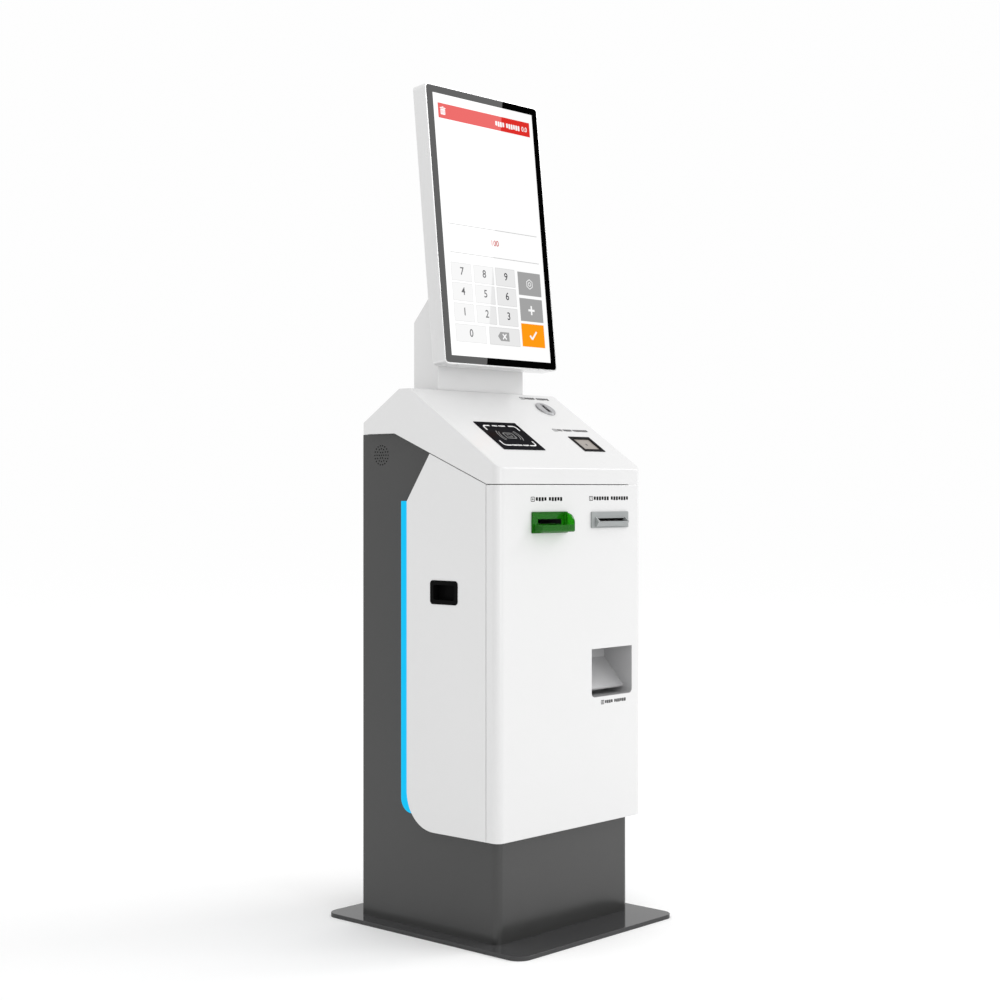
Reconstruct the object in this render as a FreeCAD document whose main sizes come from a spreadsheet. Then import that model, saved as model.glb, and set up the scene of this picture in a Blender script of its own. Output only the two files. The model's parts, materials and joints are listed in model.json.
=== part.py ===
import FreeCAD, Part
import os
import re
import Sketcher
from FreeCAD import Placement, Rotation, Vector

# Self-service ticket vending machine, free standing.
# Frame: millimetres, origin at the middle of the base plate's underside, +Z up,
# the front faces -Y and +X is on the right of someone facing the machine.

DIMS = {
    # overall form
    "plate_width": 472, "plate_depth": 530, "plate_thick": 8, "plate_round": 28, "plate_edge": 1.2,
    "case_width": 434, "front_face": -194, "inset": 20, "core_back": 194,
    "corner_round": 16, "crease_round": 3.5, "core_round": 14, "edge_round": 1.2,
    "sheet": 1.5, "shut_gap": 1.5,
    "skirt_height": 203, "seam_height": 875, "return_edge": -163,
    # hood over the cabinet
    "band_top": 905.4, "ridge_front": 41.5, "ridge_back": 71, "ridge_height": 1062.5,
    "hood_back": 172.5, "hood_back_top": 998, "hood_low": 975, "hood_low_front": 85,
    "core_slack": 1, "wall_rise": 10, "wall_top": 980,
    # white side panels and the light beside them
    "panel_top_y": -13, "panel_back": 49.7, "panel_back_top": 842, "panel_round": 72,
    "light_width": 20.3, "light_low": 232, "light_high": 842, "light_round": 28,
    "light_tuck": 12, "light_gap": 0.8, "board_thick": 2, "light_thick": 12,
    # recessed pull in the left side panel
    "pull_y": -52.5, "pull_z": 667, "pull_width": 73, "pull_height": 46, "pull_round": 7,
    "pull_rim": 8.5, "pull_depth": 15, "pull_proud": 1, "pull_wall": 1.5,
    # speakers behind the drilled grilles
    "speaker_y": 141, "speaker_z": 933, "grille_hole": 1.6, "grille_pitch": 6.4,
    "speaker_flange": 30, "speaker_frame": 24, "magnet_radius": 17,
    # frames inside the cabinet
    "kick_top": 215, "jamb_width": 5.5, "frame_depth": 16, "frame_top": 874,
    "rear_jamb": 17.5, "rear_sill": 70, "rear_head": 930, "pan_gap": 1,
    "shelf_z": 556, "shelf_front": -75, "shelf_back": 172, "shelf_lip": 20,
    "bridge_z": 982, "bridge_front": 46, "bridge_back": 168, "bridge_lip": 17, "bridge_thick": 3,
    # anchors through the base plate
    "anchor_x": 150, "anchor_y": 130, "anchor_hole": 6.5, "fix_x": 182, "fix_y": 150,
    "bolt_radius": 4, "bolt_head": 6.5, "bolt_head_height": 5,
    # neck and monitor
    "neck_width": 256, "neck_front": 51, "neck_back": 120, "neck_back_top": 1199, "neck_tip": 1284,
    "neck_step": 1116, "neck_wall": 2, "neck_round": 3, "neck_slack": 0.8,
    "screen_y": -9, "screen_z": 1111.7, "screen_tilt": 5.83, "screen_width": 334,
    "screen_length": 561, "screen_thick": 36, "screen_round": 9, "screen_wall": 2.5,
    "glass_thick": 3, "glass_proud": 0.6, "lcd_width": 314, "lcd_length": 545, "lcd_thick": 12,
    "cover_thick": 2, "vesa": 50, "vesa_hole": 2.5,
    # what sits in the slope: distances up the slope from its front edge
    "nfc_x": -81.5, "nfc_s": 114, "nfc_width": 120, "nfc_length": 98, "nfc_proud": 1.5,
    "reader_thick": 14, "slope_rim": 5,
    "scan_x": 133, "scan_s": 92, "scan_width": 65, "scan_length": 54, "scan_frame": 7.5,
    "scan_proud": 1.2, "scan_well": 9, "scan_glass": 2, "scanner_thick": 26,
    "coin_x": 133, "coin_s": 226, "coin_radius": 23, "coin_proud": 3, "coin_shank": 14,
    "coin_shank_depth": 9, "coin_slot_width": 5, "coin_slot_length": 29,
    # front openings
    "bill_x": -73, "bill_z": 801.5, "bill_width": 103, "bill_height": 41, "bill_plate": 4,
    "bill_nose": 26, "bill_cheek": 4, "bill_sweep": 20, "bill_inset": 5, "bill_left": 3,
    "bill_lip": 16, "bill_lip_gap": 2, "bill_mouth": 74, "bill_mouth_height": 9,
    "bill_mouth_lift": 2,
    "print_x": 110.5, "print_z": 804.5, "print_width": 115, "print_height": 32,
    "print_plate": 3.5, "print_chin": 9, "print_chin_height": 10, "print_slot": 88,
    "print_slot_height": 6, "print_cheek": 4,
    "tray_x": 120, "tray_low": 453, "tray_width": 128, "tray_height": 96, "tray_round": 9,
    "tray_back": -120, "tray_wall": 1.5, "tray_inlet": 60, "tray_inlet_depth": 12,
    # modules on the door
    "validator_width": 94, "validator_low": 772, "validator_high": 838, "validator_back": -40,
    "bill_path": 76, "roller_y": -150, "roller_radius": 8, "roller_shaft": 2.5,
    "roller_pocket": 20, "roller_length": 74, "roller_pad": 14,
    "cash_low": 650, "cash_front": -150, "cash_back": -30, "cash_gap": 1,
    "cash_grip": 30, "cash_grip_out": 12,
    "printer_width": 100, "printer_low": 772, "printer_high": 832, "printer_back": -112,
    "platen_y": -150, "platen_radius": 6, "platen_shaft": 2.5, "platen_gap": 0.5,
    "gear_radius": 9, "gear_thick": 4, "head_front": -160, "head_back": -138,
    "roll_y": -66, "roll_z": 803, "roll_radius": 38, "roll_width": 79, "roll_core": 6.6,
    "spindle_radius": 6, "side_plate": 2, "roll_back": -45,
    # coin handling in the cabinet
    "acceptor_width": 52, "acceptor_front": -55, "acceptor_back": 45, "acceptor_low": 905,
    "acceptor_high": 985, "chute_wall": 1.5, "chute_width": 8, "chute_length": 34, "chute_rise": 28,
    "flap_gap": 0.6, "flap_thick": 2, "flap_length": 26, "flap_width": 14,
    "flap_shaft": 2, "flap_bearing": 4,
    "hopper_front": -60, "hopper_back": 60, "hopper_width": 104, "hopper_high": 690,
    "hopper_bowl": 45, "hopper_floor": 585, "disc_radius": 43, "disc_thick": 4,
    "disc_hole": 13, "disc_pitch": 27, "disc_lift": 0.6, "disc_hub": 7,
    "run_width": 36, "run_low": 556, "run_front": -130,
    # power and control
    "control_left": -190, "control_right": -40, "control_front": -40, "control_back": 120,
    "control_height": 52, "supply_left": -170, "supply_right": -60, "supply_front": -60,
    "supply_back": 110, "supply_height": 48, "fin_pitch": 12, "fin_height": 6, "fin_thick": 3,
    "inlet_x": -120, "inlet_z": 40, "inlet_width": 82, "inlet_height": 36, "inlet_depth": 30,
    "inlet_flange": 2, "socket_width": 24, "socket_height": 17, "socket_depth": 15,
    "switch_width": 20, "switch_height": 26, "switch_depth": 12,
    "rocker_gap": 0.6, "rocker_rise": 3, "rocker_pin": 1.5,
    # rear door, its fan and its lock
    "rear_gap": 2, "rear_depth": 14, "vent_length": 90, "vent_height": 5, "vent_pitch": 13,
    "fan_z": 850, "fan_size": 80, "fan_depth": 25, "fan_bore": 37.5, "fan_hub": 16,
    "fan_blade": 35.5, "blade_thick": 2, "blade_depth": 14, "fan_screw": 35.75,
    "lock_x": -158, "lock_z": 500, "lock_radius": 9, "lock_plug": 6.5, "lock_depth": 22,
    "lock_rim": 12, "lock_rim_thick": 2, "cam_length": 17, "cam_width": 10, "cam_thick": 2.5,
    # hinges
    "hinge_pin": 2, "hinge_fit": 0.06, "hinge_knuckle": 4, "hinge_length": 60,
    "knuckle_gap": 0.5, "knuckle_clear": 0.3, "leaf_thick": 1.5, "leaf_width": 18,
    # screws
    "screw_radius": 3, "screw_height": 2, "screw_edge": 12,
}
HINGE_HEIGHTS = (260, 540, 820)
LOUVRE_ROWS = 9
GRILLE_RINGS = 3
FAN_BLADES = 7
DISC_HOLES = 5
TOUCH = 0.05

doc = FreeCAD.newDocument("ticket_machine")
sheet = doc.addObject("Spreadsheet::Sheet", "dims")
for row, (word, size) in enumerate(DIMS.items(), 1):
    sheet.set(f"A{row}", word)
    sheet.set(f"B{row}", str(size))
    sheet.setAlias(f"B{row}", word)
doc.recompute()

# lengths and angles worked out from the driving dimensions
HALF = "(case_width / 2)"
CORE = "(case_width / 2 - inset)"
INNER = "(case_width / 2 - inset - sheet)"
CORE_FRONT = "(front_face + inset)"
FLOOR = "(plate_thick + sheet)"
DOOR_TOP = "(seam_height - shut_gap)"
SLOPE = "atan((ridge_height - band_top) / (ridge_front - front_face))"
BACK_SLOPE = "atan((ridge_height - hood_back_top) / (hood_back - ridge_back))"
EDGE_RISE = "((hood_low - seam_height) / (hood_low_front - return_edge))"
BILL_SLOT = "(bill_z - bill_height / 2 + bill_lip + bill_mouth_lift + bill_mouth_height / 2)"
TICKET_Z = "(print_z - print_slot_height / 2 + 2)"

nodes = []


# ---------------------------------------------------------------- drawing helpers

def formula(text):
    """The text with every driving dimension pointed at its cell."""
    return re.sub(r"[a-z][a-z_0-9]*", lambda word: "dims." + word.group()
                  if word.group() in DIMS else word.group(), str(text))


def number(text):
    """The present value of a formula."""
    value = sheet.evalExpression(str(text))
    return float(getattr(value, "Value", value))


def label(item, name):
    item.Label = name
    nodes.append(item)
    return item


def pin(geometry, point, x, y):
    """Rules that hold a sketch point at a place given by two formulas."""
    return [(Sketcher.Constraint(kind, -1, 1, geometry, point, number(text)), text)
            for kind, text in (("DistanceX", x), ("DistanceY", y))]


def hold_radius(geometry, radius):
    return [(Sketcher.Constraint("Radius", geometry, number(radius)), radius)]


def disc(x, y, radius):
    def draw(sketch):
        centre = Vector(number(x), number(y), 0)
        circle = sketch.addGeometry(Part.Circle(centre, Vector(0, 0, 1), number(radius)), False)
        return pin(circle, 3, x, y) + hold_radius(circle, radius)
    return draw


def toward(corner, other):
    """Unit step along X or Y from one corner to its neighbour."""
    across = number(other[0]) - number(corner[0])
    upward = number(other[1]) - number(corner[1])
    if abs(across) > abs(upward):
        return (1 if across > 0 else -1, 0)
    return (0, 1 if upward > 0 else -1)


def poly(*corners):
    """A closed outline. A corner's third entry rounds it, where its sides meet square."""
    def draw(sketch):
        stops = []
        for i, corner in enumerate(corners):
            x, y = corner[0], corner[1]
            if len(corner) == 2:
                stops.append((x, y, None, None))
                continue
            radius = corner[2]
            back = toward(corner, corners[i - 1])
            ahead = toward(corner, corners[(i + 1) % len(corners)])
            bulge = Vector(back[0] + ahead[0], back[1] + ahead[1], 0) * (1 - 0.5 ** 0.5)
            middle = Vector(number(x), number(y), 0) + bulge * number(radius)
            stops.append((f"({x}) + ({back[0]}) * ({radius})",
                          f"({y}) + ({back[1]}) * ({radius})", middle, radius))
            stops.append((f"({x}) + ({ahead[0]}) * ({radius})",
                          f"({y}) + ({ahead[1]}) * ({radius})", None, None))
        spots = [Vector(number(x), number(y), 0) for x, y, _, _ in stops]
        pieces, rules = [], []
        for i, (x, y, middle, radius) in enumerate(stops):
            here, there = spots[i], spots[(i + 1) % len(stops)]
            if middle is None:
                piece = sketch.addGeometry(Part.LineSegment(here, there), False)
            else:
                piece = sketch.addGeometry(Part.Arc(here, middle, there), False)
            start = 1 if sketch.Geometry[piece].StartPoint.distanceToPoint(here) < TOUCH else 2
            pieces.append((piece, start))
            rules += pin(piece, start, x, y)
        for i, (piece, start) in enumerate(pieces):
            following, begin = pieces[(i + 1) % len(pieces)]
            rules.append((Sketcher.Constraint("Coincident", piece, 3 - start, following, begin), None))
        for (piece, _), (_, _, middle, radius) in zip(pieces, stops):
            if middle is not None:
                rules += hold_radius(piece, radius)
        return rules
    return draw


def rect(x0, y0, x1, y1, radius=None):
    corners = ((x0, y0), (x1, y0), (x1, y1), (x0, y1))
    return poly(*[corner + (radius,) if radius else corner for corner in corners])


def around(x, y, width, height, radius=None):
    """A rectangle of a given width and height about its middle."""
    return rect(f"({x}) - ({width}) / 2", f"({y}) - ({height}) / 2",
                f"({x}) + ({width}) / 2", f"({y}) + ({height}) / 2", radius)


def start(name):
    return label(doc.addObject("PartDesign::Body", name), name)


def feature(body, kind, plane, low, length, loops):
    """A pad or pocket of drawn loops that reaches from low to low + length along the axis."""
    sketch = body.newObject("Sketcher::SketchObject", "outline")
    origin = next(item for item in body.Origin.OriginFeatures if item.Role == plane + "_Plane")
    sketch.AttachmentSupport = [(origin, "")]
    sketch.MapMode = "FlatFace"
    offset = f"-({low})" if plane == "XZ" else f"{low}"
    sketch.setExpression("AttachmentOffset.Base.z", formula(offset))
    rules = [rule for loop in loops for rule in loop(sketch)]
    sketch.addConstraint([constraint for constraint, _ in rules])
    for row, (_, text) in enumerate(rules):
        if text is not None:
            sketch.setExpression(f"Constraints[{row}]", formula(text))
    item = body.newObject("PartDesign::" + kind, kind.lower())
    item.Profile = sketch
    item.setExpression("Length", formula(length))
    item.Reversed = (plane == "XZ") == (kind == "Pad")
    doc.recompute()
    return item


def add(body, plane, low, length, *loops):
    return feature(body, "Pad", plane, low, length, loops)


def cut(body, plane, low, length, *loops):
    before = body.Shape.Volume
    item = feature(body, "Pocket", plane, low, length, loops)
    if body.Shape.Volume > before - TOUCH:
        raise RuntimeError(body.Label + ": a pocket cut nothing")
    return item


def edges(body, direction=None, **at):
    """The tip's edges that run along a direction and lie wholly at the given coordinates."""
    names = []
    for index, edge in enumerate(body.Tip.Shape.Edges, 1):
        box = edge.BoundBox
        spans = {"x": (box.XMin, box.XMax), "y": (box.YMin, box.YMax), "z": (box.ZMin, box.ZMax)}
        flat = [axis for axis, (low, high) in spans.items() if high - low < TOUCH]
        if direction and (direction in flat or len(flat) != 2):
            continue
        if all(abs(end - number(place)) < TOUCH for axis, place in at.items() for end in spans[axis]):
            names.append(f"Edge{index}")
    return names


def soften(body, radius, names):
    solid = body.Tip
    item = body.newObject("PartDesign::Fillet", "fillet")
    item.Base = (solid, names)
    item.setExpression("Radius", formula(radius))
    body.Tip = item
    doc.recompute()
    return item


def repeat(body, item, role, length, count):
    """Copies of a feature in a row along one of the body's own axes."""
    row = body.newObject("PartDesign::LinearPattern", "row")
    row.Originals = [item]
    row.Direction = (next(part for part in body.Origin.OriginFeatures if part.Role == role), [""])
    row.setExpression("Length", formula(length))
    row.Occurrences = count
    body.Tip = row
    doc.recompute()


def block(low, high):
    item = doc.addObject("Part::Box", "block")
    for side, axis, a, b in zip(("Length", "Width", "Height"), "xyz", low, high):
        item.setExpression(side, formula(f"({b}) - ({a})"))
        item.setExpression(f"Placement.Base.{axis}", formula(a))
    return item


TURNS = {"x": Rotation(Vector(0, 1, 0), 90), "y": Rotation(Vector(1, 0, 0), -90), "z": Rotation()}


def rod(at, radius, length, axis="z"):
    item = doc.addObject("Part::Cylinder", "rod")
    item.Placement = Placement(Vector(), TURNS[axis])
    item.setExpression("Radius", formula(radius))
    item.setExpression("Height", formula(length))
    for name, place in zip("xyz", at):
        item.setExpression(f"Placement.Base.{name}", formula(place))
    return item


def less(base, *tools):
    for tool in tools:
        item = doc.addObject("Part::Cut", "less")
        item.Base = base
        item.Tool = tool
        base = item
    return base


def join(*items):
    item = doc.addObject("Part::MultiFuse", "join")
    item.Shapes = list(items)
    return item


def group(*items):
    item = doc.addObject("Part::Compound", "group")
    item.Links = list(items)
    return item


def seat(item, angle, x, y, z):
    """Stand an item, drawn flat about its own origin, at a place and turned about X."""
    item.Placement = Placement(Vector(), Rotation(Vector(1, 0, 0), 1))
    item.setExpression("Placement.Rotation.Angle", formula(angle))
    for axis, place in (("x", x), ("y", y), ("z", z)):
        item.setExpression(f"Placement.Base.{axis}", formula(place))
    return item


def on_slope(item):
    """The slope's own frame: X across, Y up the slope from its front edge, Z out of it."""
    return seat(item, SLOPE, "0", "front_face", "band_top")


def on_screen(item):
    """The monitor's own frame: X across, Y from the front into it, Z up along the screen."""
    return seat(item, "-screen_tilt", "0", "screen_y", "screen_z")


def edge_line(y, drop="0"):
    """Height of the hood's slanting lower edge at y, less a drop."""
    return f"(seam_height + (({y}) - return_edge) * {EDGE_RISE} - ({drop}))"


# ---------------------------------------------------------------- base and cabinet

def make_base_plate():
    plate = start("base_plate")
    add(plate, "XY", "0", "plate_thick", around("0", "0", "plate_width", "plate_depth", "plate_round"))
    soften(plate, "plate_edge", edges(plate, z="plate_thick"))
    corners = [(x, y) for x in (-1, 1) for y in (-1, 1)]
    cut(plate, "XY", "0", "plate_thick",
        *[disc(f"{x} * anchor_x", f"{y} * anchor_y", "anchor_hole") for x, y in corners],
        *[disc(f"{x} * fix_x", f"{y} * fix_y", "bolt_radius") for x, y in corners])


def make_floor_pan():
    pan = start("floor_pan")
    width = f"2 * ({INNER} - pan_gap)"
    front = f"({CORE_FRONT} + frame_depth + pan_gap)"
    back = "(core_back - frame_depth - pan_gap)"
    add(pan, "XY", "plate_thick", "sheet",
        around("0", f"({front} + {back}) / 2", width, f"{back} - {front}"))
    corners = [(x, y) for x in (-1, 1) for y in (-1, 1)]
    cut(pan, "XY", "plate_thick", "sheet",
        *[disc(f"{x} * anchor_x", f"{y} * anchor_y", "anchor_hole") for x, y in corners],
        *[disc(f"{x} * fix_x", f"{y} * fix_y", "bolt_radius") for x, y in corners])


def make_base_bolts():
    bolts = []
    for x in (-1, 1):
        for y in (-1, 1):
            shank = rod((f"{x} * fix_x", f"{y} * fix_y", "1"), "bolt_radius", f"{FLOOR} - 1")
            head = rod((f"{x} * fix_x", f"{y} * fix_y", FLOOR), "bolt_head", "bolt_head_height")
            bolts.append(join(shank, head))
    label(group(*bolts), "base_bolts")


def make_cabinet_shell():
    """The dark outer sheet: one fold round the front, low at the front and open at the back."""
    shell = start("cabinet_shell")
    far = "hood_low + inset"
    add(shell, "XY", "plate_thick", f"{far} - plate_thick",
        poly((f"-{CORE}", CORE_FRONT, "core_round"), (CORE, CORE_FRONT, "core_round"),
             (CORE, "core_back"), (f"-{CORE}", "core_back")))
    cut(shell, "XY", "plate_thick", f"{far} - plate_thick",
        poly((f"-{INNER}", f"{CORE_FRONT} + sheet", "core_round - sheet"),
             (INNER, f"{CORE_FRONT} + sheet", "core_round - sheet"),
             (INNER, "core_back + 1"), (f"-{INNER}", "core_back + 1")))
    cut(shell, "XZ", f"{CORE_FRONT} - 1", "frame_depth + 1",
        rect(f"-{HALF}", "kick_top", HALF, f"{far} + 1"))
    front = f"({CORE_FRONT} + frame_depth - 1)"
    cut(shell, "YZ", f"-{HALF}", "case_width",
        poly((front, edge_line(front, "-wall_rise")),
             ("hood_low_front", edge_line("hood_low_front", "-wall_rise / 2")),
             ("hood_back - sheet - core_slack", "wall_top"),
             ("hood_back - sheet - core_slack", "hood_low"),
             ("core_back + 1", "hood_low"), ("core_back + 1", f"{far} + 1"), (front, f"{far} + 1")))
    holes = [disc("speaker_y", "speaker_z", "grille_hole")]
    for ring in range(1, GRILLE_RINGS + 1):
        for step in range(6 * ring):
            angle = 60 * step / ring
            holes.append(disc(f"speaker_y + {ring} * grille_pitch * cos({angle})",
                              f"speaker_z + {ring} * grille_pitch * sin({angle})", "grille_hole"))
    cut(shell, "YZ", f"-{HALF}", "case_width", *holes)


def make_frames():
    """The folded steel frames that the doors close on."""
    front = start("door_frame")
    inner = f"({INNER} - jamb_width)"
    add(front, "XZ", CORE_FRONT, "frame_depth", rect(f"-{INNER}", "kick_top", INNER, "frame_top"),
        rect(f"-{inner}", "kick_top + jamb_width", inner, "frame_top - jamb_width"))
    cut(front, "XZ", f"{CORE_FRONT} + sheet", "frame_depth",
        rect(f"-{INNER} + sheet", "kick_top + sheet", f"{INNER} - sheet", "frame_top - sheet"),
        rect(f"-{inner} + 0.01", "kick_top + jamb_width - 0.01", f"{inner} - 0.01",
             "frame_top - jamb_width + 0.01"))
    rear = start("rear_frame")
    inner = f"({INNER} - rear_jamb)"
    add(rear, "XZ", "core_back - frame_depth", "frame_depth",
        rect(f"-{INNER}", "plate_thick", INNER, "hood_low"),
        rect(f"-{inner}", "rear_sill", inner, "rear_head"))
    cut(rear, "XZ", "core_back - frame_depth", "frame_depth - sheet",
        rect(f"-{INNER} + sheet", "plate_thick + sheet", f"{INNER} - sheet", "hood_low - sheet"),
        rect(f"-{inner} - sheet", "rear_sill - sheet", f"{inner} + sheet", "rear_head + sheet"))
    add(rear, "XY", "hood_low - sheet", "sheet",
        rect(f"-{INNER}", "hood_back - sheet", INNER, "core_back - frame_depth + sheet"))
    cut(rear, "XZ", "core_back - sheet", "sheet",
        around("inlet_x + inlet_width / 4 - 1", "inlet_z", "inlet_width - 2 * inlet_flange",
               "inlet_height - 2 * inlet_flange"))


def make_shelves():
    shelf = start("equipment_shelf")
    half = f"({INNER} - pan_gap)"
    add(shelf, "XY", "shelf_z - shelf_lip", "shelf_lip",
        rect(f"-{half}", "shelf_front", half, "shelf_back"))
    cut(shelf, "XY", "shelf_z - shelf_lip", "shelf_lip - sheet",
        rect(f"-{half} + sheet", "shelf_front - 1", f"{half} - sheet", "shelf_back + 1"))
    bridge = start("neck_bridge")
    half = f"({INNER} - 0.3)"
    add(bridge, "XY", "bridge_z - bridge_lip", "bridge_lip",
        rect(f"-{half}", "bridge_front", half, "bridge_back"))
    cut(bridge, "XY", "bridge_z - bridge_lip", "bridge_lip - bridge_thick",
        rect(f"-{half} + bridge_thick", "bridge_front - 1", f"{half} - bridge_thick",
             "bridge_back + 1"))
    cut(bridge, "XY", "bridge_z - bridge_thick", "bridge_thick",
        disc("0", "(neck_front + neck_back) / 2", "neck_width / 8"))


# ---------------------------------------------------------------- white cladding

def hood_profile(inside):
    """The hood's side outline; inside is how far it lies within the outer skin."""
    front = f"(front_face + {inside})"
    rise = f"tan({SLOPE})"
    fall = f"tan({BACK_SLOPE})"
    lean = f"({inside} / cos({SLOPE}) - {inside})"
    back_lean = f"({inside} / cos({BACK_SLOPE}) - {inside})"
    back = f"(hood_back - {inside})"
    return [
        (front, f"(band_top + {inside} * {rise} - {inside} / cos({SLOPE}))"),
        (f"(ridge_front + {lean} / {rise})", f"(ridge_height - {inside})"),
        (f"(ridge_back - {back_lean} / {fall})", f"(ridge_height - {inside})"),
        (back, f"(hood_back_top + {inside} * {fall} - {inside} / cos({BACK_SLOPE}))"),
    ]


def make_hood():
    hood = start("hood")
    add(hood, "YZ", f"-{HALF}", "case_width",
        poly(*hood_profile("0"), ("hood_back", "hood_low"), ("hood_low_front", "hood_low"),
             ("return_edge", "seam_height"), ("front_face", "seam_height")))
    soften(hood, "corner_round", edges(hood, "z", y="front_face"))
    crease = edges(hood, "x", y="front_face", z="band_top")
    soften(hood, "crease_round", crease)
    soften(hood, "edge_round", edges(hood, x=HALF) + edges(hood, x=f"-{HALF}"))
    under_slope = f"(band_top + corner_round * tan({SLOPE}) - sheet / cos({SLOPE}))"
    cut(hood, "YZ", f"-{HALF} + sheet", "case_width - 2 * sheet",
        poly(("front_face + corner_round", under_slope), *hood_profile("sheet")[1:],
             ("hood_back - sheet", "hood_low + sheet"), ("hood_low_front", "hood_low + sheet"),
             ("return_edge", "seam_height + 2 * sheet"),
             ("front_face + corner_round", "seam_height + 2 * sheet")))
    cut(hood, "XY", "seam_height + 2 * sheet", "band_top - seam_height - 4 * sheet",
        poly((f"-{HALF} + sheet", "front_face + sheet", "corner_round - sheet"),
             (f"{HALF} - sheet", "front_face + sheet", "corner_round - sheet"),
             (f"{HALF} - sheet", "front_face + 2 * corner_round"),
             (f"-{HALF} + sheet", "front_face + 2 * corner_round")))
    foot = [(f"{CORE_FRONT} - core_slack", "seam_height"), ("return_edge", "seam_height"),
            ("hood_low_front", "hood_low"), ("hood_back - sheet", "hood_low")]
    cut(hood, "YZ", f"-{CORE} - core_slack", f"2 * ({CORE} + core_slack)",
        poly(*[(y, f"{z} - 1") for y, z in foot],
             *[(y, f"{z} + 3 * sheet") for y, z in reversed(foot)]))
    cut(hood, "XY", "seam_height", "ridge_height",
        around("0", "(neck_front + neck_back) / 2", "neck_width + 2 * neck_slack",
               "neck_back - neck_front + 2 * neck_slack"))
    on_hood = []
    for x, s, width, length in (("nfc_x", "nfc_s", "nfc_width", "nfc_length"),
                                ("scan_x", "scan_s", "scan_width", "scan_length")):
        tool = block((f"{x} - {width} / 2 + slope_rim", f"{s} - {length} / 2 + slope_rim", "-inset"),
                     (f"{x} + {width} / 2 - slope_rim", f"{s} + {length} / 2 - slope_rim", "inset"))
        on_hood.append(tool)
    on_hood.append(rod(("coin_x", "coin_s", "-inset"), "coin_shank + 0.5", "2 * inset"))
    nodes.remove(hood)
    hood.Label = "hood_skin"
    label(less(hood, on_slope(group(*on_hood))), "hood")


def make_front_door():
    door = start("front_door")
    tall = f"({DOOR_TOP} - skirt_height)"
    add(door, "XY", "skirt_height", tall,
        poly((f"-{HALF}", "front_face", "corner_round"), (HALF, "front_face", "corner_round"),
             (HALF, "return_edge"), (f"-{HALF}", "return_edge")))
    rims = edges(door, z="skirt_height") + edges(door, z=DOOR_TOP)
    back = edges(door, y="return_edge")
    soften(door, "edge_round", [name for name in rims if name not in back])
    cut(door, "XY", "skirt_height + sheet", f"{tall} - 2 * sheet",
        poly((f"-{HALF} + sheet", "front_face + sheet", "corner_round - sheet"),
             (f"{HALF} - sheet", "front_face + sheet", "corner_round - sheet"),
             (f"{HALF} - sheet", "return_edge + 1"), (f"-{HALF} + sheet", "return_edge + 1")))
    cut(door, "XY", "skirt_height - 1", f"{tall} + 2",
        rect(f"-{HALF} + sheet", f"{CORE_FRONT} - 2", f"{HALF} - sheet", "return_edge + 1"))
    cut(door, "XZ", "front_face", "sheet",
        around("bill_x", "bill_z", "bill_width - 2 * bill_inset", "bill_height - 2 * bill_inset"))
    cut(door, "XZ", "front_face", "sheet",
        around("print_x", "print_z", "print_width - 2 * bill_inset", "print_height - 2 * bill_inset"))
    cut(door, "XZ", "front_face", "sheet",
        poly(("tray_x - tray_width / 2", "tray_low", "tray_round"),
             ("tray_x + tray_width / 2", "tray_low", "tray_round"),
             ("tray_x + tray_width / 2", "tray_low + tray_height"),
             ("tray_x - tray_width / 2", "tray_low + tray_height")))


def panel_outline(inside):
    side = f"(return_edge + shut_gap + {inside})"
    back = f"(panel_back - {inside})"
    drop = f"(shut_gap * 1.1 + {inside} * 1.1)"
    return [(side, f"(skirt_height + {inside})"),
            (back, f"(skirt_height + {inside})", f"(panel_round - {inside})"),
            (back, f"(panel_back_top - {inside} * 0.3)"),
            (f"(panel_top_y - {inside} * 0.6)", edge_line(f"panel_top_y - {inside} * 0.6", drop)),
            (side, edge_line(side, drop))]


def make_side_panel(name, side):
    panel = start(name)
    low = f"-{HALF}" if side < 0 else CORE
    add(panel, "YZ", low, "inset", poly(*panel_outline("0")))
    soften(panel, "edge_round", edges(panel, x=f"{side} * {HALF}"))
    hollow = f"-{HALF} + sheet" if side < 0 else CORE
    cut(panel, "YZ", hollow, "inset - sheet", poly(*panel_outline("sheet")))
    if side < 0:
        cut(panel, "YZ", f"-{HALF}", "sheet",
            around("pull_y", "pull_z", "pull_width - 5", "pull_height - 5", "pull_round - 2.5"))


def make_side_pull():
    """Black moulded cup set into the left panel, for a hand to pull on."""
    cup = start("side_pull")
    add(cup, "YZ", f"-{HALF} - pull_proud", "pull_proud",
        around("pull_y", "pull_z", "pull_width", "pull_height", "pull_round"))
    add(cup, "YZ", f"-{HALF}", "pull_depth + pull_wall",
        around("pull_y", "pull_z", "pull_width - 6", "pull_height - 6", "pull_round - 3"))
    cut(cup, "YZ", f"-{HALF} - pull_proud", "pull_proud + pull_depth",
        around("pull_y", "pull_z", "pull_width - 2 * pull_rim", "pull_height - 2 * pull_rim",
               "pull_round - 3"))


def light_solid(side, near, thick):
    """The light's outline: a straight bar whose foot follows the panel's round corner."""
    body = doc.addObject("PartDesign::Body", "light")
    low = f"-{CORE} - {near} - {thick}" if side < 0 else f"{CORE} + {near}"
    inner = "panel_back + light_gap"
    add(body, "YZ", low, thick,
        poly((f"{inner} - light_tuck", "light_low"),
             (f"{inner} + light_width", "light_low", "light_round"),
             (f"{inner} + light_width", "light_high"), (f"{inner} - light_tuck", "light_high")))
    cut(body, "YZ", low, thick,
        rect(f"{inner} - 2 * light_tuck", "skirt_height + panel_round", inner, "light_high + 1"))
    cut(body, "YZ", low, thick,
        disc("panel_back - panel_round", "skirt_height + panel_round", "panel_round + light_gap"))
    return body


def make_lights():
    label(group(*[light_solid(side, "0", "board_thick") for side in (-1, 1)]), "light_boards")
    label(group(*[light_solid(side, "board_thick", "light_thick") for side in (-1, 1)]),
          "light_diffusers")


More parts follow.
